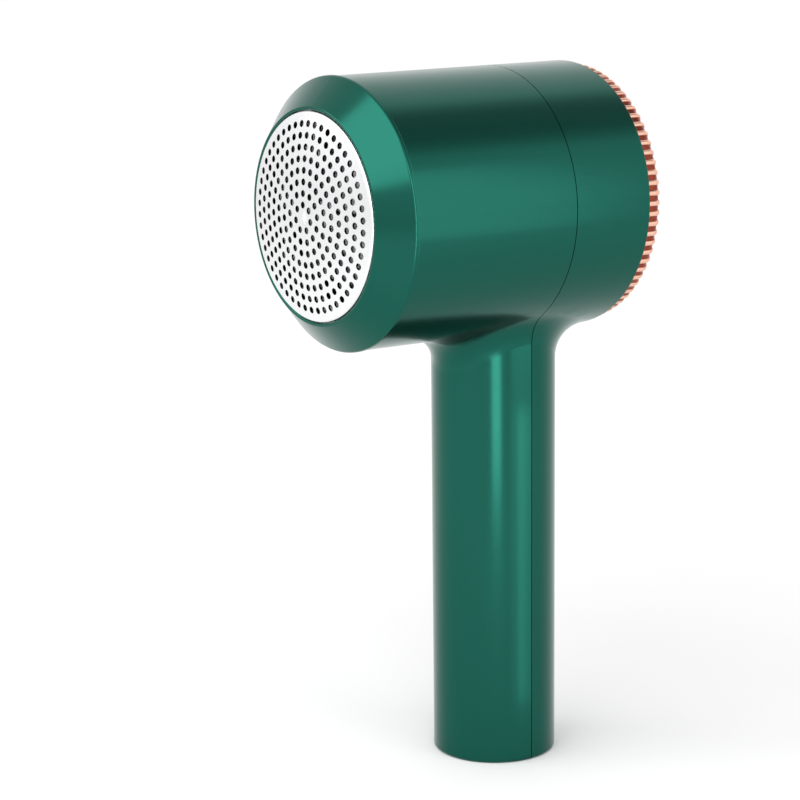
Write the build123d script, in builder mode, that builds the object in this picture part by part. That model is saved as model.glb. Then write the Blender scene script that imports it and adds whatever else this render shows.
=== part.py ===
"""Cordless fabric shaver shaped like a small hair dryer, in millimetres.

The handle stands on its flat base with its axis on Z.  The barrel lies along Y at AXIS_Z:
the perforated foil faces the front (-Y) and the rose-gold ring closes the rear (+Y).
"""
from build123d import *
import math
import os

os.makedirs("parts", exist_ok=True)

# --- Driving dimensions -------------------------------------------------------------------
AXIS_Z = 130.0            # barrel axis above the base
FRONT_Y = -42.2           # front edge of the barrel shell
REAR_Y = 20.85            # rear edge of the barrel shell
FRONT_R = 30.0            # barrel radius at the front edge
REAR_R = 30.45            # barrel radius at the rear edge, after a slight draft
BORE_R = 28.0             # barrel bore
HANDLE_R = 14.3
HANDLE_BORE_R = 12.4
FLOOR_T = 2.2             # handle floor
NECK_FILLET = 8.5         # flare where the handle meets the barrel
EDGE_ROUND = 0.25         # softened shell edges
BASE_ROUND = 0.8
SEAM = 0.2                # gap between the two shells, centred on y = 0
LAP_R = 29.0              # register lip of the front shell
LAP_LENGTH = 1.6
FIT = 0.1                 # clearance of the sliding fits
BITE = 0.5                # how far added steps run into the wall they stand on

FOIL_R = 22.9             # visible foil radius
FOIL_T = 0.45
FOIL_SPHERE_R = 115.0     # the foil is a shallow spherical cap
FOIL_TOP_Y = -51.5
FOIL_EDGE_ROUND = 0.6
FOIL_FLANGE_R = 24.0
HOLE_R = 0.75
HOLE_RINGS = 8
HOLE_PITCH = 2.48         # distance between hole rings
HOLE_INSET = 0.38         # the first ring stands this much outside one pitch
HOLE_SPACING = 2.53       # distance between holes along a ring, which starts at the top

LIP_Y = -49.0             # front of the bezel lip
BEZEL_R = 30.2
BEZEL_REAR_Y = -42.3
BEZEL_LAND = 0.7          # short cylinder behind the bezel's cone
BEZEL_ROUND = 0.9         # round between the two
SPIGOT_END_Y = -38.5

MOTOR_R = 10.2
MOTOR_FRONT_Y = -34.2
MOTOR_LENGTH = 25.0
SHAFT_R = 1.0
SHAFT_TIP_Y = -45.0
RUNNING_FIT = 0.05        # radial clearance of the shaft in its bearings

DISC_R = 22.0             # cutter wheel
DISC_FRONT_Y = -43.6
DISC_T = 1.4
BLADE_COUNT = 6
BLADE_T = 0.5
BLADE_TILT = 20.0
BLADE_INNER_R = 3.6
BLADE_OUTER_R = 21.0
BLADE_GAP = 0.4           # blade edge to the inside of the foil

MOUNT_FRONT_Y = -36.6     # motor mount, clamped between two steps in the shells
MOUNT_REAR_Y = 1.75
STEP_R = 26.6             # bore of the steps that clamp it
FRONT_STEP_T = 1.6
REAR_STEP_T = 1.2

RIB_COUNT = 80            # ribbed rear ring
RIB_R = 0.75
RIB_SINK = 0.35           # the ribs' centre lines lie this deep in the ring
RING_R = 29.05            # radius of the ribs' centre lines
RING_BEND = 1.75          # bend of the ribs over the rear edge
RING_FRONT_Y = 21.0
RING_BEND_Y = 23.05

CUP_FRONT_Y = 3.2         # lint cup
CUP_R = BORE_R - FIT
CUP_WALL = 1.3
FILTER_Y = 18.8
FILTER_T = 0.4
GRILLE_Y = 22.4
GRILLE_T = 2.0
VANE_COUNT = 16

CELL_R = 9.2              # 18650 cell
CELL_LENGTH = 65.0
CELL_Y = -2.6
CELL_Z = 16.0
TAB_T = 0.3
BOARD_FRONT_Y = 7.0
BOARD_T = 1.2
BOARD_REAR_Y = BOARD_FRONT_Y + BOARD_T
BOARD_W = 13.0
BOARD_BOTTOM_Z = 2.6
BOARD_TOP_Z = 84.0

SCREW_LEVELS = (11.5, 88.0)
SCREW_R = 1.3
BOSS_R = 3.0
BOSS_REACH = 13.3         # the bosses and tubes end inside the handle's wall
TUBE_R = 3.2
HEAD_R = 2.3
HEAD_T = 1.6
HEAD_SEAT_Y = 5.0
RECESS_SPAN = 2.8
RECESS_W = 0.6
RECESS_DEPTH = 0.8
PLUG_R = 2.5
PLUG_T = 3.0

BUTTON_Z = 74.0
BUTTON_R = 5.3
BUTTON_PROUD = 0.4
BUTTON_BACK_Y = 11.4
LIGHT_Z = 58.0
LIGHT_R = 1.25

WIRE_R = 0.7
WIRE_X = 5.0

# --- Frames and helpers -------------------------------------------------------------------
BARREL_AXIS = Axis((0, 0, AXIS_Z), (0, 1, 0))
HALF_SECTION = Plane(origin=(0, 0, AXIS_Z), x_dir=(0, 1, 0), z_dir=(1, 0, 0))


def across(y):
    """Plane across the barrel at y; extrusions from it run rearward."""
    return Plane(origin=(0, y, AXIS_Z), x_dir=(-1, 0, 0), z_dir=(0, 1, 0))


def behind(y, z):
    """Plane facing the rear at height z on the handle's centre line."""
    return Plane(origin=(0, y, z), x_dir=(-1, 0, 0), z_dir=(0, 1, 0))


def outline(*corners):
    """Face in the barrel's half section, from (y, radius) corners."""
    with BuildSketch(HALF_SECTION) as sketch:
        with BuildLine():
            Polyline(*corners, close=True)
        make_face()
    return sketch.sketch


def foil_y(radius, depth):
    """Height of the foil's sphere at a radius, `depth` mm under its outer face."""
    ball = FOIL_SPHERE_R - depth
    return FOIL_TOP_Y + FOIL_SPHERE_R - math.sqrt(ball**2 - radius**2)


def driver_recess():
    """Cross recess of the small screws."""
    with BuildSketch(Plane.XY, mode=Mode.PRIVATE) as sketch:
        Rectangle(RECESS_SPAN, RECESS_W)
        Rectangle(RECESS_W, RECESS_SPAN)
    return sketch.sketch


def finish(part, name):
    part.label = name
    export_step(part, f"parts/{name}.step")


# --- Shells -------------------------------------------------------------------------------
with BuildPart() as body:
    revolve(outline((FRONT_Y, 0), (FRONT_Y, FRONT_R), (REAR_Y, REAR_R), (REAR_Y, 0)), axis=BARREL_AXIS)
    fillet(body.edges().filter_by(GeomType.CIRCLE), EDGE_ROUND)
    with BuildSketch():
        Circle(HANDLE_R)
    extrude(amount=AXIS_Z)
    neck = body.edges().filter_by(lambda e: e.geom_type not in (GeomType.CIRCLE, GeomType.LINE))
    fillet(neck, NECK_FILLET)
    fillet(body.faces().sort_by(Axis.Z)[0].edges(), BASE_ROUND)
    revolve(
        outline((FRONT_Y - 1, 0), (FRONT_Y - 1, BORE_R), (REAR_Y + 1, BORE_R), (REAR_Y + 1, 0)),
        axis=BARREL_AXIS,
        mode=Mode.SUBTRACT,
    )
    with BuildSketch(Plane.XY.offset(FLOOR_T)):
        Circle(HANDLE_BORE_R)
    extrude(amount=AXIS_Z - FLOOR_T, mode=Mode.SUBTRACT)

# The front shell carries the register lip, the front step, the screw bosses, the cell's shelf
# and a tongue that closes the seam across the base.
SHELF_Z = CELL_Z - TAB_T
SHELF_T = 1.0
PILOT_DEPTH = 8.0
TONGUE_W = 20.0
with BuildPart() as front_shell:
    add(body.part)
    split(bisect_by=Plane.XZ.offset(SEAM / 2), keep=Keep.TOP)
    revolve(
        outline(
            (-SEAM / 2, BORE_R), (-SEAM / 2, LAP_R), (LAP_LENGTH, LAP_R), (LAP_LENGTH, BORE_R)
        ),
        axis=BARREL_AXIS,
    )
    revolve(
        outline(
            (MOUNT_FRONT_Y - FRONT_STEP_T, STEP_R),
            (MOUNT_FRONT_Y - FRONT_STEP_T, BORE_R + BITE),
            (MOUNT_FRONT_Y, BORE_R + BITE),
            (MOUNT_FRONT_Y, STEP_R),
        ),
        axis=BARREL_AXIS,
    )
    for level in SCREW_LEVELS:
        with BuildSketch(behind(-BOSS_REACH, level)):
            Circle(BOSS_R)
        extrude(amount=BOSS_REACH - SEAM / 2)
        with BuildSketch(behind(-PILOT_DEPTH, level)):
            Circle(SCREW_R)
        extrude(amount=PILOT_DEPTH, mode=Mode.SUBTRACT)
    with BuildSketch(Plane.XY.offset(SHELF_Z - SHELF_T)):
        Circle(HANDLE_BORE_R + BITE)
        with Locations((0, HANDLE_R)):
            Rectangle(3 * HANDLE_R, 2 * HANDLE_R + SEAM, mode=Mode.SUBTRACT)
    extrude(amount=SHELF_T)
    with BuildSketch():
        Rectangle(TONGUE_W, SEAM)
    extrude(amount=FLOOR_T)
finish(front_shell.part, "front_shell")

# The rear shell has the openings for the button, the light, the socket and the two screws.
RAIL_LEVELS = (24.0, 46.0)
RAIL_T = 1.5
RAIL_W = 2.0
RAIL_DEPTH = 3.0
SOCKET_W = 8.94
SOCKET_T = 3.16
SOCKET_Y = BOARD_FRONT_Y - SOCKET_T / 2
with BuildPart() as rear_shell:
    add(body.part)
    split(bisect_by=Plane.XZ.offset(-SEAM / 2), keep=Keep.BOTTOM)
    revolve(
        outline((0, 0), (0, LAP_R + FIT), (MOUNT_REAR_Y, LAP_R + FIT), (MOUNT_REAR_Y, 0)),
        axis=BARREL_AXIS,
        mode=Mode.SUBTRACT,
    )
    revolve(
        outline(
            (MOUNT_REAR_Y, STEP_R),
            (MOUNT_REAR_Y, BORE_R + BITE),
            (MOUNT_REAR_Y + REAR_STEP_T, BORE_R + BITE),
            (MOUNT_REAR_Y + REAR_STEP_T, STEP_R),
        ),
        axis=BARREL_AXIS,
    )
    for level in SCREW_LEVELS:
        with BuildSketch(behind(SEAM / 2, level)):
            Circle(TUBE_R)
        extrude(amount=BOSS_REACH - SEAM / 2)
    for level in RAIL_LEVELS:
        with BuildSketch(Plane.XY.offset(level)):
            for side in (1, -1):
                with Locations((side * (BOARD_W - RAIL_W) / 2, BOARD_REAR_Y + RAIL_DEPTH / 2)):
                    Rectangle(RAIL_W, RAIL_DEPTH)
        extrude(amount=RAIL_T)
    for level in SCREW_LEVELS:
        with BuildSketch(behind(0, level)):
            Circle(SCREW_R + FIT)
        extrude(amount=HEAD_SEAT_Y, mode=Mode.SUBTRACT)
        with BuildSketch(behind(HEAD_SEAT_Y, level)):
            Circle(PLUG_R)
        extrude(amount=HANDLE_R, mode=Mode.SUBTRACT)
    for level, radius in ((BUTTON_Z, BUTTON_R + 2 * FIT), (LIGHT_Z, LIGHT_R)):
        with BuildSketch(behind(BOARD_REAR_Y, level)):
            Circle(radius)
        extrude(amount=HANDLE_R, mode=Mode.SUBTRACT)
    with BuildSketch(Plane.XY):
        with Locations((0, SOCKET_Y)):
            RectangleRounded(SOCKET_W + FIT, SOCKET_T + FIT, SOCKET_T / 2 - FIT)
    extrude(amount=FLOOR_T, mode=Mode.SUBTRACT)
finish(rear_shell.part, "rear_shell")

# --- Foil ring: conical bezel, perforated foil and the clamp behind its flange ------------------
LIP_R = FOIL_R + 0.15
LIP_OUTER_R = 23.75
LIP_ROUND = 0.3
POCKET_R = 24.45
FLANGE_Y = -47.3
CLAMP_REAR_Y = -45.0
SPIGOT_R = BORE_R - FIT
SPIGOT_BORE_R = 26.2
RELIEF = 1.5              # length of the cone from the clamp's pocket to the spigot's bore
with BuildPart() as bezel_ring:
    with BuildSketch(HALF_SECTION):
        with BuildLine():
            Polyline(
                (BEZEL_REAR_Y, SPIGOT_R),
                (BEZEL_REAR_Y, BEZEL_R),
                (BEZEL_REAR_Y - BEZEL_LAND, BEZEL_R),
                (LIP_Y, LIP_OUTER_R),
                (LIP_Y, LIP_R),
                (FLANGE_Y, LIP_R),
                (FLANGE_Y, POCKET_R),
                (CLAMP_REAR_Y, POCKET_R),
                (CLAMP_REAR_Y + RELIEF, SPIGOT_BORE_R),
                (SPIGOT_END_Y, SPIGOT_BORE_R),
                (SPIGOT_END_Y, SPIGOT_R),
                close=True,
            )
        make_face()
    revolve(axis=BARREL_AXIS)
    circles = bezel_ring.edges().filter_by(GeomType.CIRCLE)
    fillet(circles.filter_by(lambda e: e.radius > BEZEL_R - 0.01).sort_by(Axis.Y)[0], BEZEL_ROUND)
    circles = bezel_ring.edges().filter_by(GeomType.CIRCLE)
    fillet(circles.group_by(Axis.Y)[0], LIP_ROUND)
finish(bezel_ring.part, "bezel_ring")

with BuildPart() as foil:
    crown_r = FOIL_R - FOIL_EDGE_ROUND
    flange_rear_y = FLANGE_Y + FOIL_T
    with BuildSketch(HALF_SECTION):
        with BuildLine():
            outer_edge_y = foil_y(FOIL_R, 0)
            inner_edge_y = foil_y(FOIL_R - FOIL_T, FOIL_T)
            half_r = crown_r / 2
            ThreePointArc((foil_y(0, 0), 0), (foil_y(half_r, 0), half_r), (outer_edge_y, FOIL_R))
            Polyline(
                (outer_edge_y, FOIL_R),
                (FLANGE_Y, FOIL_R),
                (FLANGE_Y, FOIL_FLANGE_R),
                (flange_rear_y, FOIL_FLANGE_R),
                (flange_rear_y, FOIL_R - FOIL_T),
                (inner_edge_y, FOIL_R - FOIL_T),
            )
            ThreePointArc(
                (inner_edge_y, FOIL_R - FOIL_T),
                (foil_y(half_r, FOIL_T), half_r),
                (foil_y(0, FOIL_T), 0),
            )
            Line((foil_y(0, FOIL_T), 0), (foil_y(0, 0), 0))
        make_face()
    revolve(axis=BARREL_AXIS)
    circles = foil.edges().filter_by(GeomType.CIRCLE)
    crown = circles.filter_by(lambda e: abs(e.radius - FOIL_R) < 0.01).sort_by(Axis.Y)[0]
    fillet(crown, FOIL_EDGE_ROUND)
    with BuildSketch(across(FOIL_TOP_Y - 1)):
        for ring in range(1, HOLE_RINGS + 1):
            ring_r = HOLE_INSET + HOLE_PITCH * ring
            with PolarLocations(ring_r, round(math.tau * ring_r / HOLE_SPACING), start_angle=90):
                Circle(HOLE_R)
    extrude(amount=FLANGE_Y - FOIL_TOP_Y, mode=Mode.SUBTRACT)
finish(foil.part, "foil")

CLAMP_BORE_R = 22.5
CLAMP_R = POCKET_R - FIT / 2
with BuildPart() as foil_clamp:
    revolve(
        outline(
            (flange_rear_y, CLAMP_BORE_R),
            (flange_rear_y, CLAMP_R),
            (CLAMP_REAR_Y, CLAMP_R),
            (CLAMP_REAR_Y, CLAMP_BORE_R),
        ),
        axis=BARREL_AXIS,
    )
finish(foil_clamp.part, "foil_clamp")

# --- Cutter wheel -------------------------------------------------------------------------------
BUSH_R = 2.0
HUB_R = 3.4
HUB_REAR_Y = -39.4
HUB_FRONT_Y = -45.6
TAB_DEPTH = 0.7
TAB_MIDDLES = (8.0, 15.0)  # radii of the tabs' middles
TAB_LENGTH = 3.0
BLANK_H = 10.0            # height of the blade blank before its edge is ground to the foil
FLAT_X = 0.75             # the flat that drives the wheel, on shaft and bush


def driven_bore(clearance):
    """Round section with one flat, the shaft's own section plus a clearance."""
    with BuildSketch(Plane.XY, mode=Mode.PRIVATE) as sketch:
        Circle(SHAFT_R + clearance)
        with Locations((FLAT_X + clearance + SHAFT_R, 0)):
            Rectangle(2 * SHAFT_R, 4 * SHAFT_R, mode=Mode.SUBTRACT)
    return sketch.sketch


with BuildPart() as blade_room:
    room_top = FOIL_T + BLADE_GAP
    with BuildSketch(HALF_SECTION):
        with BuildLine():
            ThreePointArc(
                (foil_y(BLADE_INNER_R, room_top), BLADE_INNER_R),
                (foil_y(BLADE_OUTER_R / 2, room_top), BLADE_OUTER_R / 2),
                (foil_y(BLADE_OUTER_R, room_top), BLADE_OUTER_R),
            )
            Polyline(
                (foil_y(BLADE_OUTER_R, room_top), BLADE_OUTER_R),
                (DISC_FRONT_Y + TAB_DEPTH, BLADE_OUTER_R),
                (DISC_FRONT_Y + TAB_DEPTH, BLADE_INNER_R),
                (foil_y(BLADE_INNER_R, room_top), BLADE_INNER_R),
            )
        make_face()
    revolve(axis=BARREL_AXIS)

tilt = math.radians(BLADE_TILT)
blades = []
for number in range(BLADE_COUNT):
    turn = Rotation(0, 360 / BLADE_COUNT * number, 0)
    with BuildPart() as blade:
        blade_plane = Plane(
            origin=(0, DISC_FRONT_Y, AXIS_Z),
            x_dir=(1, 0, 0),
            z_dir=(0, -math.sin(tilt), -math.cos(tilt)),
        )
        with BuildSketch(blade_plane):
            with Locations((BLADE_OUTER_R / 2, BLANK_H / 2)):
                Rectangle(BLADE_OUTER_R, BLANK_H)
            for middle_r in TAB_MIDDLES:
                with Locations((middle_r, 0)):
                    Rectangle(TAB_LENGTH, 2 * TAB_DEPTH)
        extrude(amount=BLADE_T / 2, both=True)
        add(blade_room.part, mode=Mode.INTERSECT)
    spun = Pos(0, 0, AXIS_Z) * turn * Pos(0, 0, -AXIS_Z) * blade.part
    blades.append(spun)
    finish(spun, f"blade_{number + 1}")

KIDNEY_INNER_R = 14.0
KIDNEY_OUTER_R = 19.4
KIDNEY_SPAN = 30.0
CLIP_T = 1.2
CLIP_H = 1.5
RIM_W = 0.8               # raised rim of the wheel
RIM_H = 0.7
with BuildPart() as cutter_disc:
    revolve(
        outline(
            (DISC_FRONT_Y, 0),
            (DISC_FRONT_Y, DISC_R - RIM_W),
            (DISC_FRONT_Y - RIM_H, DISC_R - RIM_W),
            (DISC_FRONT_Y - RIM_H, DISC_R),
            (DISC_FRONT_Y + DISC_T, DISC_R),
            (DISC_FRONT_Y + DISC_T, HUB_R),
            (HUB_REAR_Y, HUB_R),
            (HUB_REAR_Y, 0),
        ),
        axis=BARREL_AXIS,
    )
    with BuildSketch(across(HUB_FRONT_Y)):
        Circle(HUB_R)
    extrude(amount=DISC_FRONT_Y - HUB_FRONT_Y)
    for middle_r in TAB_MIDDLES:
        with BuildSketch(across(DISC_FRONT_Y - CLIP_H)):
            with PolarLocations(middle_r, BLADE_COUNT):
                Rectangle(TAB_LENGTH, 2 * CLIP_T + BLADE_T)
        extrude(amount=CLIP_H)
    with BuildSketch(across(DISC_FRONT_Y)):
        with PolarLocations(0, BLADE_COUNT, start_angle=(360 / BLADE_COUNT - KIDNEY_SPAN) / 2):
            with BuildLine():
                middle = CenterArc(
                    (0, 0), (KIDNEY_INNER_R + KIDNEY_OUTER_R) / 2, 0, KIDNEY_SPAN, mode=Mode.PRIVATE
                )
            SlotArc(middle, KIDNEY_OUTER_R - KIDNEY_INNER_R)
    extrude(amount=DISC_T, mode=Mode.SUBTRACT)
    with BuildSketch(across(SHAFT_TIP_Y)):
        Circle(BUSH_R)
    extrude(amount=HUB_REAR_Y - SHAFT_TIP_Y, mode=Mode.SUBTRACT)
    for blade_part in blades:
        add(blade_part, mode=Mode.SUBTRACT)
finish(cutter_disc.part, "cutter_disc")

with BuildPart() as cutter_bush:
    with BuildSketch(across(SHAFT_TIP_Y)):
        Circle(BUSH_R)
        add(driven_bore(RUNNING_FIT), mode=Mode.SUBTRACT)
    extrude(amount=HUB_REAR_Y - SHAFT_TIP_Y)
finish(cutter_bush.part, "cutter_bush")

# --- Motor ----------------------------------------------------------------------------------
MOTOR_REAR_Y = MOTOR_FRONT_Y + MOTOR_LENGTH
CAN_T = 1.0
CAN_BOSS_R = 3.1
CAN_BOSS_Y = MOTOR_FRONT_Y - 1.6
CAP_T = 1.7
CAP_PROUD = 0.3
CAP_FRONT_Y = MOTOR_REAR_Y - CAP_T + CAP_PROUD
FLAT_START_Y = SHAFT_TIP_Y + 0.2
FLAT_END_Y = -37.5
MOTOR_SCREW_X = 6.5
MOTOR_SCREW_R = 1.25
CORE_FRONT_Y = MOTOR_FRONT_Y + 5
CORE_LENGTH = 12.0
CORE_R = 7.0
AIR_GAP = 0.4
with BuildPart() as motor_can:
    revolve(
        outline(
            (CAN_BOSS_Y, SHAFT_R + RUNNING_FIT),
            (CAN_BOSS_Y, CAN_BOSS_R),
            (MOTOR_FRONT_Y, CAN_BOSS_R),
            (MOTOR_FRONT_Y, MOTOR_R),
            (MOTOR_REAR_Y, MOTOR_R),
            (MOTOR_REAR_Y, MOTOR_R - CAN_T),
            (MOTOR_FRONT_Y + CAN_T, MOTOR_R - CAN_T),
            (MOTOR_FRONT_Y + CAN_T, SHAFT_R + RUNNING_FIT),
        ),
        axis=BARREL_AXIS,
    )
    with BuildSketch(across(MOTOR_FRONT_Y)):
        with Locations((MOTOR_SCREW_X, 0), (-MOTOR_SCREW_X, 0)):
            Circle(MOTOR_SCREW_R)
    extrude(amount=CAN_T, mode=Mode.SUBTRACT)
finish(motor_can.part, "motor_can")

with BuildPart() as motor_end_cap:
    with BuildSketch(across(CAP_FRONT_Y)):
        Circle(MOTOR_R - CAN_T)
        Circle(SHAFT_R + RUNNING_FIT, mode=Mode.SUBTRACT)
    extrude(amount=CAP_T)
finish(motor_end_cap.part, "motor_end_cap")

TERMINAL_Z = AXIS_Z - 5.0
TERMINAL_T = 0.5
TERMINAL_W = 2.2
TERMINAL_LENGTH = 3.0
TERMINAL_Y = CAP_FRONT_Y + CAP_T
WIRE_Y = TERMINAL_Y + TERMINAL_LENGTH / 2
with BuildPart() as motor_terminals:
    for side in (1, -1):
        with BuildSketch(Plane.XY.offset(TERMINAL_Z)):
            with Locations((side * WIRE_X, WIRE_Y)):
                Rectangle(TERMINAL_W, TERMINAL_LENGTH)
        extrude(amount=TERMINAL_T)
finish(motor_terminals.part, "motor_terminals")

MAGNET_SPLIT = 8.0
with BuildPart() as motor_magnets:
    revolve(
        outline(
            (CORE_FRONT_Y, CORE_R + AIR_GAP),
            (CORE_FRONT_Y, MOTOR_R - CAN_T),
            (CORE_FRONT_Y + CORE_LENGTH, MOTOR_R - CAN_T),
            (CORE_FRONT_Y + CORE_LENGTH, CORE_R + AIR_GAP),
        ),
        axis=BARREL_AXIS,
    )
    with BuildSketch(across(CORE_FRONT_Y)):
        Rectangle(2 * MOTOR_R, MAGNET_SPLIT)
    extrude(amount=CORE_LENGTH, mode=Mode.SUBTRACT)
finish(motor_magnets.part, "motor_magnets")

with BuildPart() as motor_shaft:
    with BuildSketch(across(FLAT_END_Y)):
        Circle(SHAFT_R)
    extrude(amount=TERMINAL_Y - FLAT_END_Y)
    with BuildSketch(across(FLAT_START_Y)):
        add(driven_bore(0))
    extrude(amount=FLAT_END_Y - FLAT_START_Y)
finish(motor_shaft.part, "motor_shaft")

POLE_COUNT = 3
POLE_GAP = 1.6
POLE_GAP_DEPTH = 4.5
with BuildPart() as armature:
    with BuildSketch(across(CORE_FRONT_Y)):
        Circle(CORE_R)
        Circle(SHAFT_R, mode=Mode.SUBTRACT)
        with PolarLocations(CORE_R - POLE_GAP_DEPTH / 2, POLE_COUNT):
            Rectangle(POLE_GAP_DEPTH, POLE_GAP, mode=Mode.SUBTRACT)
    extrude(amount=CORE_LENGTH)
finish(armature.part, "armature")

# The mount is a bulkhead with a sleeve that closes the handle off from the lint passage.
SLEEVE_R = BORE_R - 0.2
SLEEVE_BORE_R = 26.4
POCKET_WALL = 1.4
POCKET_LENGTH = 10.0
PASSAGE_INNER_R = 13.5
PASSAGE_OUTER_R = 24.5
PASSAGE_COUNT = 6
SPOKE_W = 3.0
WIRE_HOLE_R = 1.1
with BuildPart() as motor_mount:
    revolve(
        outline(
            (MOUNT_FRONT_Y, CAN_BOSS_R + FIT),
            (MOUNT_FRONT_Y, SLEEVE_R),
            (MOUNT_REAR_Y, SLEEVE_R),
            (MOUNT_REAR_Y, SLEEVE_BORE_R),
            (MOTOR_FRONT_Y, SLEEVE_BORE_R),
            (MOTOR_FRONT_Y, MOTOR_R + POCKET_WALL),
            (MOTOR_FRONT_Y + POCKET_LENGTH, MOTOR_R + POCKET_WALL),
            (MOTOR_FRONT_Y + POCKET_LENGTH, MOTOR_R + RUNNING_FIT),
            (MOTOR_FRONT_Y, MOTOR_R + RUNNING_FIT),
            (MOTOR_FRONT_Y, CAN_BOSS_R + FIT),
        ),
        axis=BARREL_AXIS,
    )
    with BuildSketch(across(MOUNT_FRONT_Y)):
        Circle(PASSAGE_OUTER_R)
        Circle(PASSAGE_INNER_R, mode=Mode.SUBTRACT)
        with PolarLocations(PASSAGE_OUTER_R / 2, PASSAGE_COUNT):
            Rectangle(PASSAGE_OUTER_R + BITE, SPOKE_W, mode=Mode.SUBTRACT)
        with Locations((MOTOR_SCREW_X, 0), (-MOTOR_SCREW_X, 0)):
            Circle(MOTOR_SCREW_R)
    extrude(amount=MOTOR_FRONT_Y - MOUNT_FRONT_Y, mode=Mode.SUBTRACT)
    with BuildSketch(Plane.XY.offset(AXIS_Z - BORE_R)):
        with Locations((WIRE_X, WIRE_Y), (-WIRE_X, WIRE_Y)):
            Circle(WIRE_HOLE_R)
    extrude(amount=BORE_R - SLEEVE_BORE_R + BITE, mode=Mode.SUBTRACT)
finish(motor_mount.part, "motor_mount")

MOTOR_HEAD_R = 2.25
MOTOR_HEAD_T = 1.5
MOTOR_SCREW_REACH = 1.0   # past the inside of the can's front wall
with BuildPart() as motor_screws:
    for side in (1, -1):
        with BuildSketch(across(MOUNT_FRONT_Y - MOTOR_HEAD_T)):
            with Locations((side * MOTOR_SCREW_X, 0)):
                Circle(MOTOR_HEAD_R)
        extrude(amount=MOTOR_HEAD_T)
        with BuildSketch(across(MOUNT_FRONT_Y)):
            with Locations((side * MOTOR_SCREW_X, 0)):
                Circle(MOTOR_SCREW_R)
        extrude(amount=MOTOR_FRONT_Y + CAN_T + MOTOR_SCREW_REACH - MOUNT_FRONT_Y)
    with BuildSketch(across(MOUNT_FRONT_Y - MOTOR_HEAD_T)):
        with Locations((MOTOR_SCREW_X, 0), (-MOTOR_SCREW_X, 0)):
            add(driver_recess())
    extrude(amount=RECESS_DEPTH, mode=Mode.SUBTRACT)
finish(motor_screws.part, "motor_screws")

# --- Lint bin: cup, filter, ribbed ring and grille ------------------------------------------------
LEDGE_R = 24.6
LEDGE_T = 1.2
with BuildPart() as lint_cup:
    revolve(
        outline(
            (CUP_FRONT_Y, CUP_R - CUP_WALL),
            (CUP_FRONT_Y, CUP_R),
            (RING_FRONT_Y, CUP_R),
            (RING_FRONT_Y, CUP_R - CUP_WALL),
            (FILTER_Y, CUP_R - CUP_WALL),
            (FILTER_Y, LEDGE_R),
            (FILTER_Y - LEDGE_T, LEDGE_R),
            (FILTER_Y - LEDGE_T, CUP_R - CUP_WALL),
        ),
        axis=BARREL_AXIS,
    )
finish(lint_cup.part, "lint_cup")

FILTER_HOLE = 2.2
FILTER_PITCH = 3.0
FILTER_HALF_ROWS = 8
mesh_steps = [FILTER_PITCH * step for step in range(-FILTER_HALF_ROWS, FILTER_HALF_ROWS + 1)]
mesh_spots = [
    (x, z) for x in mesh_steps for z in mesh_steps if math.hypot(x, z) < LEDGE_R - FILTER_HOLE
]
with BuildPart() as lint_filter:
    with BuildSketch(across(FILTER_Y)):
        Circle(CUP_R - CUP_WALL - FIT)
    extrude(amount=FILTER_T)
    with BuildSketch(across(FILTER_Y)):
        with Locations(*mesh_spots):
            Rectangle(FILTER_HOLE, FILTER_HOLE)
    extrude(amount=FILTER_T, mode=Mode.SUBTRACT)
finish(lint_filter.part, "lint_filter")

RING_BORE_R = 26.65
RIB_END_R = 27.0
RING_END_Y = RING_BEND_Y + RING_BEND
RING_SKIN_R = RING_R + RIB_SINK
RING_SKIN_BEND = RING_BEND + RIB_SINK
RING_REAR_Y = RING_BEND_Y + RING_SKIN_BEND
with BuildPart() as ribbed_ring:
    with BuildSketch(HALF_SECTION):
        with BuildLine():
            Polyline(
                (RING_BEND_Y, RING_SKIN_R),
                (RING_FRONT_Y, RING_SKIN_R),
                (RING_FRONT_Y, RING_BORE_R),
                (RING_REAR_Y, RING_BORE_R),
                (RING_REAR_Y, RING_SKIN_R - RING_SKIN_BEND),
            )
            RadiusArc(
                (RING_REAR_Y, RING_SKIN_R - RING_SKIN_BEND), (RING_BEND_Y, RING_SKIN_R), -RING_SKIN_BEND
            )
        make_face()
    revolve(axis=BARREL_AXIS)
    with BuildPart(mode=Mode.PRIVATE) as rib:
        with BuildLine(HALF_SECTION) as rib_path:
            Line((RING_FRONT_Y, RING_R), (RING_BEND_Y, RING_R))
            RadiusArc((RING_BEND_Y, RING_R), (RING_END_Y, RING_R - RING_BEND), RING_BEND)
            Line((RING_END_Y, RING_R - RING_BEND), (RING_END_Y, RIB_END_R))
        with BuildSketch(Plane(origin=(0, RING_FRONT_Y, AXIS_Z + RING_R), z_dir=(0, 1, 0))):
            Circle(RIB_R)
        sweep(path=rib_path.line)
    ribs = [
        Pos(0, 0, AXIS_Z) * Rotation(0, 360 / RIB_COUNT * number, 0) * Pos(0, 0, -AXIS_Z) * rib.part
        for number in range(RIB_COUNT)
    ]
    add(ribs)
finish(ribbed_ring.part, "ribbed_ring")

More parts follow.
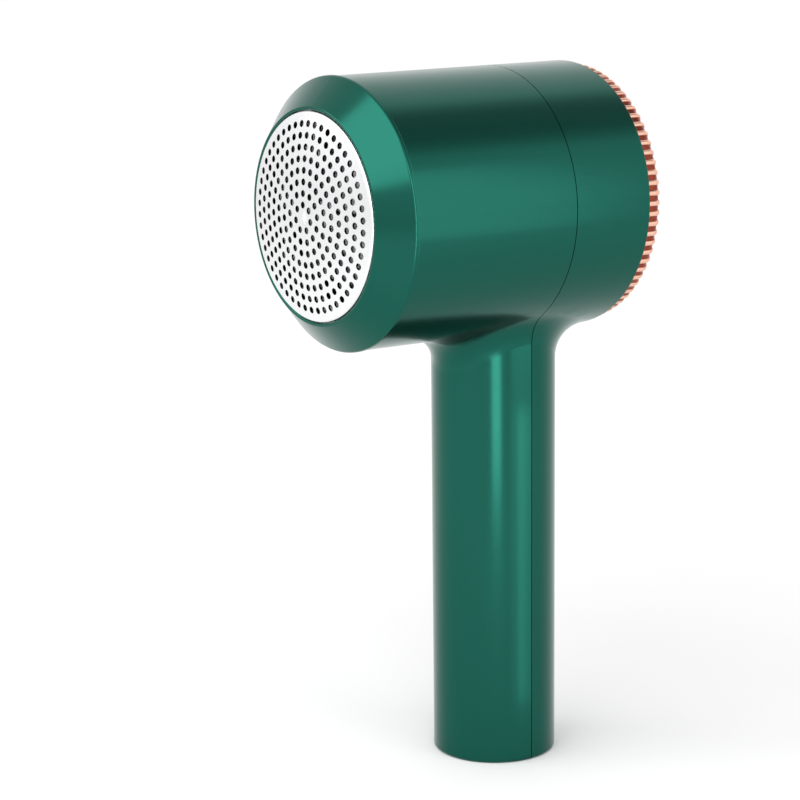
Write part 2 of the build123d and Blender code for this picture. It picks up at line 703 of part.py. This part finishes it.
HUB_CAP_R = 6.0
GRILLE_R = RING_BORE_R - RUNNING_FIT
GRILLE_RIM_W = 2.2
VANE_T = 1.3
VANE_END_R = 25.2
VANE_SWEEP = math.radians(39.4)
VANE_CURVE_R = 26.0
CAP_H = 0.8
CAP_ROUND = 0.6
with BuildPart() as rear_grille:
    with BuildSketch(across(GRILLE_Y)):
        Circle(GRILLE_R)
        Circle(GRILLE_R - GRILLE_RIM_W, mode=Mode.SUBTRACT)
        Circle(HUB_CAP_R)
        vane_end = (VANE_END_R * math.cos(VANE_SWEEP), VANE_END_R * math.sin(VANE_SWEEP))
        with PolarLocations(0, VANE_COUNT):
            with BuildLine():
                vane = RadiusArc((HUB_CAP_R - VANE_T, 0), vane_end, VANE_CURVE_R, mode=Mode.PRIVATE)
            SlotArc(vane, VANE_T)
    extrude(amount=GRILLE_T)
    with BuildSketch(across(FILTER_Y + FILTER_T)):
        Circle(CUP_R - CUP_WALL - FIT)
        Circle(LEDGE_R, mode=Mode.SUBTRACT)
    extrude(amount=GRILLE_Y - FILTER_Y - FILTER_T)
    with BuildSketch(across(GRILLE_Y + GRILLE_T)):
        Circle(HUB_CAP_R)
    extrude(amount=CAP_H)
    fillet(rear_grille.faces().sort_by(Axis.Y)[-1].edges(), CAP_ROUND)
finish(rear_grille.part, "rear_grille")

# --- Handle contents ----------------------------------------------------------------------------
with BuildPart() as battery_cell:
    with BuildSketch(Plane.XY.offset(CELL_Z)):
        with Locations((0, CELL_Y)):
            Circle(CELL_R)
    extrude(amount=CELL_LENGTH)
finish(battery_cell.part, "battery_cell")

PAD_LEVELS = (26.0, 62.0)
PAD_SIDE = 9.0
PAD_W = 4.0
PAD_T = 2.3
with BuildPart() as battery_pads:
    for level in PAD_LEVELS:
        with BuildSketch(Plane.XY.offset(level)):
            for side in (1, -1):
                with Locations((side * (CELL_R + PAD_T / 2), CELL_Y)):
                    Rectangle(PAD_T, PAD_W)
        extrude(amount=PAD_SIDE)
finish(battery_pads.part, "battery_pads")

TAB_W = 5.0
TAB_START_Y = CELL_Y - 2.0
with BuildPart() as battery_tabs:
    for level in (CELL_Z - TAB_T, CELL_Z + CELL_LENGTH):
        with BuildSketch(Plane.XY.offset(level)):
            with Locations((0, (BOARD_FRONT_Y + TAB_START_Y) / 2)):
                Rectangle(TAB_W, BOARD_FRONT_Y - TAB_START_Y)
        extrude(amount=TAB_T)
finish(battery_tabs.part, "battery_tabs")

with BuildPart() as circuit_board:
    with BuildSketch(behind(BOARD_FRONT_Y, BOARD_BOTTOM_Z)):
        with Locations((0, (BOARD_TOP_Z - BOARD_BOTTOM_Z) / 2)):
            Rectangle(BOARD_W, BOARD_TOP_Z - BOARD_BOTTOM_Z)
        with Locations((0, SCREW_LEVELS[0] - BOARD_BOTTOM_Z)):
            Circle(TUBE_R + 2 * FIT, mode=Mode.SUBTRACT)
    extrude(amount=BOARD_T)
finish(circuit_board.part, "circuit_board")

SOCKET_BOTTOM_Z = 0.5
SOCKET_LENGTH = 7.3
SOCKET_WALL = 0.3
SOCKET_BACK_T = 1.0
with BuildPart() as usb_shell:
    with BuildSketch(Plane.XY.offset(SOCKET_BOTTOM_Z)):
        with Locations((0, SOCKET_Y)):
            RectangleRounded(SOCKET_W, SOCKET_T, SOCKET_T / 2 - FIT)
    extrude(amount=SOCKET_LENGTH)
    with BuildSketch(Plane.XY.offset(SOCKET_BOTTOM_Z)):
        with Locations((0, SOCKET_Y)):
            RectangleRounded(
                SOCKET_W - 2 * SOCKET_WALL, SOCKET_T - 2 * SOCKET_WALL, SOCKET_T / 2 - SOCKET_WALL - FIT
            )
    extrude(amount=SOCKET_LENGTH - SOCKET_BACK_T, mode=Mode.SUBTRACT)
finish(usb_shell.part, "usb_shell")

SOCKET_TONGUE = (6.7, 0.7)
MOUTH_DEPTH = 0.8
with BuildPart() as usb_tongue:
    with BuildSketch(Plane.XY.offset(SOCKET_BOTTOM_Z + MOUTH_DEPTH)):
        with Locations((0, SOCKET_Y)):
            Rectangle(*SOCKET_TONGUE)
    extrude(amount=SOCKET_LENGTH - SOCKET_BACK_T - MOUTH_DEPTH)
finish(usb_tongue.part, "usb_tongue")

SWITCH_SIDE = 6.0
SWITCH_T = 2.0
SWITCH_BACK_T = 0.3
PLUNGER_R = 1.75
PLUNGER_Y = BOARD_REAR_Y + 1.0
PLUNGER_LENGTH = 1.7
with BuildPart() as tact_switch:
    with BuildSketch(behind(BOARD_REAR_Y, BUTTON_Z)):
        Rectangle(SWITCH_SIDE, SWITCH_SIDE)
    extrude(amount=SWITCH_T)
    with BuildSketch(behind(BOARD_REAR_Y + SWITCH_BACK_T, BUTTON_Z)):
        Circle(PLUNGER_R + FIT)
    extrude(amount=SWITCH_T, mode=Mode.SUBTRACT)
finish(tact_switch.part, "tact_switch")

with BuildPart() as switch_plunger:
    with BuildSketch(behind(PLUNGER_Y, BUTTON_Z)):
        Circle(PLUNGER_R)
    extrude(amount=PLUNGER_LENGTH)
finish(switch_plunger.part, "switch_plunger")

# The button's face follows the round of the handle, and its mark is the usual broken ring.
BUTTON_FACE_R = HANDLE_R + BUTTON_PROUD
BUTTON_ROUND = 0.3
POST_R = 1.45
KEEPER_T = 0.6
KEEPER_W = 4.6
KEEPER_REACH = 1.5
MARK_R = 2.4
MARK_W = 0.5
MARK_BREAK = 1.7
MARK_Y = BUTTON_FACE_R - 0.55
with BuildPart() as power_button:
    with BuildSketch(behind(BUTTON_BACK_Y, BUTTON_Z)):
        Circle(BUTTON_R)
    extrude(amount=HANDLE_R)
    with BuildSketch():
        Circle(BUTTON_FACE_R)
    extrude(amount=AXIS_Z, mode=Mode.INTERSECT)
    fillet(power_button.faces().sort_by(Axis.Y)[-1].edges(), BUTTON_ROUND)
    with BuildSketch(behind(BUTTON_BACK_Y, BUTTON_Z)):
        Rectangle(KEEPER_W, 2 * (BUTTON_R + KEEPER_REACH))
    extrude(amount=KEEPER_T)
    with BuildSketch(behind(PLUNGER_Y + PLUNGER_LENGTH, BUTTON_Z)):
        Circle(POST_R)
    extrude(amount=BUTTON_BACK_Y - PLUNGER_Y - PLUNGER_LENGTH)
    with BuildSketch(behind(MARK_Y, BUTTON_Z)):
        Circle(MARK_R + MARK_W / 2)
        Circle(MARK_R - MARK_W / 2, mode=Mode.SUBTRACT)
        with Locations((0, MARK_R)):
            Rectangle(MARK_BREAK, MARK_BREAK, mode=Mode.SUBTRACT)
            Rectangle(MARK_W, MARK_R)
    extrude(amount=HANDLE_R, mode=Mode.SUBTRACT)
finish(power_button.part, "power_button")

CHIP_T = 0.8
CHIP_SIZE = (2.0, 1.6)
with BuildPart() as led_chip:
    with BuildSketch(behind(BOARD_REAR_Y, LIGHT_Z)):
        Rectangle(*CHIP_SIZE)
    extrude(amount=CHIP_T)
finish(led_chip.part, "led_chip")

with BuildPart() as light_pipe:
    with BuildSketch(behind(BOARD_REAR_Y + CHIP_T, LIGHT_Z)):
        Circle(LIGHT_R)
    extrude(amount=HANDLE_R)
    with BuildSketch():
        Circle(HANDLE_R)
    extrude(amount=AXIS_Z, mode=Mode.INTERSECT)
finish(light_pipe.part, "light_pipe")

SCREW_TIP_Y = 1.5 - PILOT_DEPTH
with BuildPart() as shell_screws:
    for level in SCREW_LEVELS:
        with BuildSketch(behind(HEAD_SEAT_Y, level)):
            Circle(HEAD_R)
        extrude(amount=HEAD_T)
        with BuildSketch(behind(SCREW_TIP_Y, level)):
            Circle(SCREW_R)
        extrude(amount=HEAD_SEAT_Y - SCREW_TIP_Y)
        with BuildSketch(behind(HEAD_SEAT_Y + HEAD_T - RECESS_DEPTH, level)):
            add(driver_recess())
        extrude(amount=RECESS_DEPTH, mode=Mode.SUBTRACT)
finish(shell_screws.part, "shell_screws")

with BuildPart() as screw_plugs:
    for level in SCREW_LEVELS:
        with BuildSketch(behind(HANDLE_R - PLUG_T, level)):
            Circle(PLUG_R)
        extrude(amount=PLUG_T)
    with BuildSketch():
        Circle(HANDLE_R)
    extrude(amount=AXIS_Z, mode=Mode.INTERSECT)
finish(screw_plugs.part, "screw_plugs")

# Hook-up wires from the board's top edge, round the upper screw and up to the motor's terminals.
WIRE_START_Y = BOARD_FRONT_Y + BOARD_T / 2
WIRE_BEND_R = 5.0
BEND_START_Z = BOARD_TOP_Z + 4.0
BEND_END_Z = BOARD_TOP_Z + 17.0
for name, side in (("motor_wire_red", 1), ("motor_wire_black", -1)):
    with BuildPart() as wire:
        with BuildLine() as wire_path:
            FilletPolyline(
                (side * WIRE_X, WIRE_START_Y, BOARD_TOP_Z),
                (side * WIRE_X, WIRE_START_Y, BEND_START_Z),
                (side * WIRE_X, WIRE_Y, BEND_END_Z),
                (side * WIRE_X, WIRE_Y, TERMINAL_Z),
                radius=WIRE_BEND_R,
            )
        with BuildSketch(Plane.XY.offset(BOARD_TOP_Z)):
            with Locations((side * WIRE_X, WIRE_START_Y)):
                Circle(WIRE_R)
        sweep(path=wire_path.line)
    finish(wire.part, name)
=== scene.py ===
"""Looks of the fabric shaver: materials, camera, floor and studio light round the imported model."""
import math

import bpy
from mathutils import Matrix, Vector

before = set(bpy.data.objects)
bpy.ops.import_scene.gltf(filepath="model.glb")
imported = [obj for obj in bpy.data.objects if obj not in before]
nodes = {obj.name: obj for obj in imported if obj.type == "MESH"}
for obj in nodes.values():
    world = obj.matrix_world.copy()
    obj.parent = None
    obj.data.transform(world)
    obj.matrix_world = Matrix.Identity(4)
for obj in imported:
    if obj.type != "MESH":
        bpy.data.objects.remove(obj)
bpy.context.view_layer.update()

# --- Camera: the photograph's viewing angle -------------------------------------------------
# Lengths are in metres. Azimuths turn from the front (-Y) towards +X.
AZIMUTH = math.radians(54.63)
ELEVATION = math.radians(11.72)
ROLL = math.radians(-0.63)
DISTANCE = 0.542
LENS = 108.5
SENSOR = 36.0
TARGET = Vector((0.0, -0.0264, 0.0868))


def add_camera():
    back = Vector((
        math.sin(AZIMUTH) * math.cos(ELEVATION),
        -math.cos(AZIMUTH) * math.cos(ELEVATION),
        math.sin(ELEVATION),
    ))
    right = Vector((math.cos(AZIMUTH), math.sin(AZIMUTH), 0.0))
    up = back.cross(right)
    rolled_right = right * math.cos(ROLL) + up * math.sin(ROLL)
    rolled_up = up * math.cos(ROLL) - right * math.sin(ROLL)
    turn = Matrix((rolled_right, rolled_up, back)).transposed().to_4x4()
    data = bpy.data.cameras.new("camera")
    data.lens = LENS
    data.sensor_width = SENSOR
    camera = bpy.data.objects.new("camera", data)
    camera.matrix_world = Matrix.Translation(TARGET + back * DISTANCE) @ turn
    bpy.context.scene.collection.objects.link(camera)
    bpy.context.scene.camera = camera


# --- Materials ------------------------------------------------------------------------------
AXIS_Z = 0.130         # the barrel's axis
PUNCHED_R = 0.0215     # just outside the foil's outer ring of holes
OUTER_FACING = -0.6    # a normal's Y on the foil's outer side is below this
RIB_BEND_R = 0.0273    # the line round which the ribs bend over the barrel's rear edge
RIB_BEND_Y = 0.02305
RIB_VALLEY = 0.00215   # heights over that line
RIB_CREST = 0.00235


class Nodes:
    """A material's node tree with short calls for the nodes used here."""

    def __init__(self, name):
        self.material = bpy.data.materials.new(name)
        self.material.use_nodes = True
        self.tree = self.material.node_tree
        self.shader = self.tree.nodes["Principled BSDF"]
        self.source = self.tree.nodes.new("ShaderNodeTexCoord")
        self.coords = self.source.outputs["Object"]

    def set(self, **values):
        for name, value in values.items():
            self.shader.inputs[name.replace("_", " ")].default_value = value

    def link(self, source, target):
        self.tree.links.new(source, target)

    def noise(self, scale, detail=3.0, stretch=(1.0, 1.0, 1.0)):
        mapping = self.tree.nodes.new("ShaderNodeMapping")
        mapping.inputs["Scale"].default_value = stretch
        self.link(self.coords, mapping.inputs["Vector"])
        texture = self.tree.nodes.new("ShaderNodeTexNoise")
        texture.inputs["Scale"].default_value = scale
        texture.inputs["Detail"].default_value = detail
        self.link(mapping.outputs["Vector"], texture.inputs["Vector"])
        return texture.outputs["Fac"]

    def ranged(self, value, low, high, start=0.0, end=1.0):
        node = self.tree.nodes.new("ShaderNodeMapRange")
        node.inputs["From Min"].default_value = start
        node.inputs["From Max"].default_value = end
        node.inputs["To Min"].default_value = low
        node.inputs["To Max"].default_value = high
        self.link(value, node.inputs["Value"])
        return node.outputs["Result"]

    def mixed(self, factor, first, second):
        node = self.tree.nodes.new("ShaderNodeMix")
        node.data_type = "RGBA"
        node.inputs["A"].default_value = (*first, 1.0)
        node.inputs["B"].default_value = (*second, 1.0)
        self.link(factor, node.inputs["Factor"])
        return node.outputs["Result"]

    def blended(self, factor, first, second):
        node = self.tree.nodes.new("ShaderNodeMix")
        node.data_type = "RGBA"
        node.inputs["B"].default_value = (*second, 1.0)
        self.link(first, node.inputs["A"])
        self.link(factor, node.inputs["Factor"])
        return node.outputs["Result"]

    def math(self, operation, first, second=None):
        """A math node on sockets or plain numbers."""
        node = self.tree.nodes.new("ShaderNodeMath")
        node.operation = operation
        for socket, value in zip(node.inputs, (first, second)):
            if isinstance(value, (int, float)):
                socket.default_value = value
            elif value is not None:
                self.link(value, socket)
        return node.outputs["Value"]

    def square(self, value):
        return self.math("MULTIPLY", value, value)

    def length(self, first, second):
        return self.math("SQRT", self.math("ADD", self.square(first), self.square(second)))

    def split(self, vector):
        node = self.tree.nodes.new("ShaderNodeSeparateXYZ")
        self.link(vector, node.inputs["Vector"])
        return node.outputs

    def bump(self, height, distance, strength=1.0):
        node = self.tree.nodes.new("ShaderNodeBump")
        node.inputs["Distance"].default_value = distance
        node.inputs["Strength"].default_value = strength
        self.link(height, node.inputs["Height"])
        self.link(node.outputs["Normal"], self.shader.inputs["Normal"])


def green_paint():
    """Metallic lacquer: fine flakes, a faint orange peel and small changes of gloss."""
    m = Nodes("green_paint")
    m.set(Metallic=1.0)
    flakes = m.noise(9000.0, 1.0)
    m.link(m.mixed(flakes, (0.0095, 0.085, 0.063), (0.0145, 0.108, 0.080)), m.shader.inputs["Base Color"])
    m.link(m.ranged(m.noise(400.0), 0.17, 0.22), m.shader.inputs["Roughness"])
    m.bump(m.noise(1500.0, 2.0), 0.000004, 0.15)
    return m.material


def metal(name, color, roughness, grain, stretch=(1.0, 1.0, 1.0), tone=0.9):
    m = Nodes(name)
    m.set(Metallic=1.0)
    darker = tuple(c * tone for c in color)
    m.link(m.mixed(m.noise(grain, 4.0, stretch), darker, color), m.shader.inputs["Base Color"])
    m.link(m.ranged(m.noise(grain, 4.0, stretch), *roughness), m.shader.inputs["Roughness"])
    m.bump(m.noise(grain * 2.0, 2.0, stretch), 0.00001, 0.2)
    return m.material


def plastic(name, color, roughness, tone=0.85, coat=0.0):
    m = Nodes(name)
    m.set(Coat_Weight=coat, Coat_Roughness=0.1)
    darker = tuple(c * tone for c in color)
    m.link(m.mixed(m.noise(1200.0), darker, color), m.shader.inputs["Base Color"])
    m.link(m.ranged(m.noise(700.0), *roughness), m.shader.inputs["Roughness"])
    m.bump(m.noise(3000.0, 2.0), 0.00002, 0.15)
    return m.material


def perforated_steel():
    """Polished sheet; the punched hole walls and inner side are painted near black as painted shade, for
    the shadow inside the holes.
    """
    m = Nodes("foil_steel")
    m.set(Metallic=1.0)
    x, _, z = m.split(m.coords)
    facing = m.split(m.source.outputs["Normal"])[1]
    radius = m.length(x, m.math("SUBTRACT", z, AXIS_Z))
    punched = m.math("LESS_THAN", radius, PUNCHED_R)
    # Painted shade: hole walls and the foil's inner side get a near-black colour for the shadow inside
    # the holes.
    painted_shade_walls = m.math("MULTIPLY", punched, m.math("GREATER_THAN", facing, OUTER_FACING))
    tone = m.mixed(m.noise(2500.0, 4.0), (0.74, 0.745, 0.75), (0.82, 0.825, 0.83))
    m.link(m.blended(painted_shade_walls, tone, (0.03, 0.03, 0.032)), m.shader.inputs["Base Color"])
    m.link(m.ranged(m.noise(1800.0), 0.22, 0.30), m.shader.inputs["Roughness"])
    m.bump(m.noise(4000.0, 2.0), 0.000005, 0.15)
    return m.material


def ribbed_metal():
    """Rose gold with painted shade, dark red, in the valleys between the ribs.

    The painted shade follows the height over the ribs' centre lines, which run straight along the
    barrel and then bend over its rear edge.
    """
    m = Nodes("ribbed_gold")
    m.set(Metallic=1.0)
    x, y, z = m.split(m.coords)
    radius = m.length(x, m.math("SUBTRACT", z, AXIS_Z))
    inward = m.math("MAXIMUM", m.math("SUBTRACT", radius, RIB_BEND_R), 0.0)
    rearward = m.math("MAXIMUM", m.math("SUBTRACT", y, RIB_BEND_Y), 0.0)
    height = m.length(inward, rearward)
    # Painted shade: the colour darkens to dark red towards the valley floors, for the shadow between the
    # ribs; the noise adds random tone.
    painted_shade_fade = m.ranged(height, 0.0, 1.0, RIB_VALLEY, RIB_CREST)
    uneven = m.ranged(m.noise(900.0), -0.12, 0.12)
    mix = m.math("ADD", painted_shade_fade, uneven)
    m.link(m.mixed(mix, (0.24, 0.045, 0.025), (0.82, 0.48, 0.36)), m.shader.inputs["Base Color"])
    m.link(m.ranged(m.noise(1200.0), 0.20, 0.30), m.shader.inputs["Roughness"])
    m.bump(m.noise(3000.0, 2.0), 0.00001, 0.2)
    return m.material


def light_pipe_plastic():
    m = Nodes("light_pipe_plastic")
    m.set(Transmission_Weight=0.6, IOR=1.49)
    m.link(m.mixed(m.noise(900.0), (0.8, 0.82, 0.8), (0.95, 0.95, 0.93)), m.shader.inputs["Base Color"])
    m.link(m.ranged(m.noise(900.0), 0.2, 0.35), m.shader.inputs["Roughness"])
    return m.material


paint = green_paint()
rose_gold = metal("rose_gold", (0.76, 0.39, 0.29), (0.16, 0.24), 1500.0)
ribbed_gold = ribbed_metal()
foil_steel = perforated_steel()
blade_steel = metal("blade_steel", (0.62, 0.63, 0.65), (0.22, 0.34), 2500.0, (1.0, 8.0, 1.0))
plain_steel = metal("plain_steel", (0.60, 0.61, 0.63), (0.25, 0.38), 2000.0)
motor_steel = metal("motor_steel", (0.68, 0.68, 0.70), (0.28, 0.42), 900.0)
laminations = metal("laminations", (0.32, 0.32, 0.34), (0.35, 0.50), 1500.0, (1.0, 12.0, 1.0), 0.6)
brass = metal("brass", (0.83, 0.63, 0.30), (0.22, 0.34), 1500.0)
white_plastic = plastic("white_plastic", (0.86, 0.86, 0.87), (0.38, 0.48), 0.97)
dark_plastic = plastic("dark_plastic", (0.035, 0.037, 0.040), (0.42, 0.55))
black_plastic = plastic("black_plastic", (0.018, 0.018, 0.020), (0.40, 0.52))
magnet = plastic("magnet_ferrite", (0.10, 0.10, 0.11), (0.55, 0.70))
cell_wrap = plastic("cell_wrap", (0.03, 0.16, 0.42), (0.25, 0.35), 0.9, 0.4)
foam = plastic("foam", (0.06, 0.06, 0.065), (0.85, 0.95), 0.6)
board = plastic("solder_mask", (0.01, 0.13, 0.05), (0.28, 0.38), 0.8, 0.3)
led_plastic = plastic("led_plastic", (0.85, 0.78, 0.45), (0.3, 0.4))
red_wire = plastic("red_wire", (0.55, 0.02, 0.02), (0.4, 0.5))
black_wire = plastic("black_wire", (0.02, 0.02, 0.02), (0.4, 0.5))
plug_rubber = plastic("plug_rubber", (0.012, 0.10, 0.078), (0.6, 0.75))
window = light_pipe_plastic()

BLADES = [f"blade_{number}" for number in range(1, 7)]
FINISHES = {
    paint: ["front_shell", "rear_shell", "bezel_ring"],
    ribbed_gold: ["ribbed_ring"],
    rose_gold: ["rear_grille", "power_button"],
    foil_steel: ["foil"],
    blade_steel: BLADES,
    plain_steel: ["motor_shaft", "motor_screws", "shell_screws", "battery_tabs", "usb_shell"],
    motor_steel: ["motor_can"],
    laminations: ["armature"],
    brass: ["cutter_bush", "motor_terminals"],
    white_plastic: ["cutter_disc"],
    dark_plastic: ["motor_mount", "lint_cup", "lint_filter"],
    black_plastic: ["foil_clamp", "motor_end_cap", "usb_tongue", "tact_switch", "switch_plunger"],
    magnet: ["motor_magnets"],
    cell_wrap: ["battery_cell"],
    foam: ["battery_pads"],
    board: ["circuit_board"],
    led_plastic: ["led_chip"],
    red_wire: ["motor_wire_red"],
    black_wire: ["motor_wire_black"],
    plug_rubber: ["screw_plugs"],
    window: ["light_pipe"],
}
for material, names in FINISHES.items():
    for name in names:
        nodes[name].data.materials.clear()
        nodes[name].data.materials.append(material)

# --- Floor and light ------------------------------------------------------------------------
FLOOR_SIZE = 30.0
LIT_FLOOR_R = 0.10     # the lamps light the floor most inside this radius
FAR_FLOOR_R = 0.70     # and hardly beyond this one
MIDDLE = Vector((0.0, 0.0, 0.11))   # what the high softbox faces
WATTS_PER_AREA = 4.0   # energy that makes a softbox about as bright as the world at level 1
FULL_SPREAD = 180.0
DARK_WAY = Vector((0.20, 0.567, 0.80)).normalized()
DARK_EDGE = math.cos(math.radians(24.5))
DARK_CORE = math.cos(math.radians(8.0))
WORLD_LEVEL = 1.08
DARK_LEVEL = 0.41


def add_floor():
    """White paper that is a little darker where the lamps shine on it, so it looks evenly white."""
    bpy.ops.mesh.primitive_plane_add(size=FLOOR_SIZE)
    floor = bpy.context.object
    floor.name = "floor"
    m = Nodes("floor_paper")
    m.set(Roughness=0.9)
    x, y, _ = m.split(m.coords)
    radius = m.length(x, y)
    away = m.ranged(radius, 0.0, 1.0, LIT_FLOOR_R, FAR_FLOOR_R)
    uneven = m.ranged(m.noise(3.0), -0.02, 0.02)
    m.link(m.mixed(m.math("ADD", away, uneven), (0.73, 0.73, 0.73), (0.98, 0.98, 0.98)),
           m.shader.inputs["Base Color"])
    floor.data.materials.append(m.material)


def add_softbox(name, azimuth, distance, bottom, size, level, spread=FULL_SPREAD):
    """An upright softbox that stands at an azimuth and faces the object.

    A spread under FULL_SPREAD is a honeycomb grid, and level is then the light straight ahead.
    """
    width, height = size
    data = bpy.data.lights.new(name, "AREA")
    data.shape = "RECTANGLE"
    data.size = width
    data.size_y = height
    data.energy = WATTS_PER_AREA * width * height * level
    if spread < FULL_SPREAD:
        half = math.radians(spread / 2)
        data.spread = 2 * half
        data.energy *= 1.0 - half / math.tan(half)
    light = bpy.data.objects.new(name, data)
    turn = math.radians(azimuth)
    way = Vector((math.sin(turn), -math.cos(turn), 0.0))
    light.location = way * distance + Vector((0.0, 0.0, bottom + height / 2))
    light.rotation_euler = way.to_track_quat("Z", "Y").to_euler()
    light.visible_camera = False
    bpy.context.scene.collection.objects.link(light)


def add_high_softbox(name, direction, distance, size, level):
    """A square softbox that lies in a direction from the object's middle and faces it."""
    data = bpy.data.lights.new(name, "AREA")
    data.size = size
    data.energy = WATTS_PER_AREA * size * size * level
    light = bpy.data.objects.new(name, data)
    way = Vector(direction).normalized()
    light.location = MIDDLE + way * distance
    light.rotation_euler = way.to_track_quat("Z", "Y").to_euler()
    light.visible_camera = False
    bpy.context.scene.collection.objects.link(light)


def add_world():
    """White all round, with a soft darker patch overhead towards the back."""
    world = bpy.data.worlds.new("studio")
    world.use_nodes = True
    tree = world.node_tree
    background = tree.nodes["Background"]
    background.inputs["Color"].default_value = (1.0, 1.0, 1.0, 1.0)
    way = tree.nodes.new("ShaderNodeTexCoord").outputs["Generated"]
    dot = tree.nodes.new("ShaderNodeVectorMath")
    dot.operation = "DOT_PRODUCT"
    dot.inputs[1].default_value = DARK_WAY
    tree.links.new(way, dot.inputs[0])
    level = tree.nodes.new("ShaderNodeMapRange")
    level.interpolation_type = "SMOOTHSTEP"
    level.inputs["From Min"].default_value = DARK_EDGE
    level.inputs["From Max"].default_value = DARK_CORE
    level.inputs["To Min"].default_value = WORLD_LEVEL
    level.inputs["To Max"].default_value = DARK_LEVEL
    tree.links.new(dot.outputs["Value"], level.inputs["Value"])
    tree.links.new(level.outputs["Result"], background.inputs["Strength"])
    bpy.context.scene.world = world


bpy.context.scene.view_settings.view_transform = "Standard"
add_camera()
add_floor()
add_world()
# The side light is three boxes on one middle, so its upper and lower edges are soft.
SIDE_MIDDLE_Z = 0.20
for height in (0.20, 0.29, 0.38):
    add_softbox(f"side_{height}", 107.0, 0.40, SIDE_MIDDLE_Z - height / 2, (0.30, height), 0.70)
# Two small gridded boxes carry the side light's reflection down the handle to the base.
GRID_SPREAD = 60.0
add_softbox("low", 106.5, 0.057, 0.0, (0.027, 0.075), 1.1, GRID_SPREAD)
add_softbox("low_wide", 100.0, 0.0553, 0.0, (0.038, 0.075), 0.5, GRID_SPREAD)
add_softbox("strip", 59.5, 0.29, 0.0, (0.08, 0.38), 2.4)
add_softbox("left", -35.0, 0.50, 0.25, (0.25, 0.30), 2.5)
add_high_softbox("front", (0.12, -0.66, 0.68), 0.6, 0.56, 1.6)
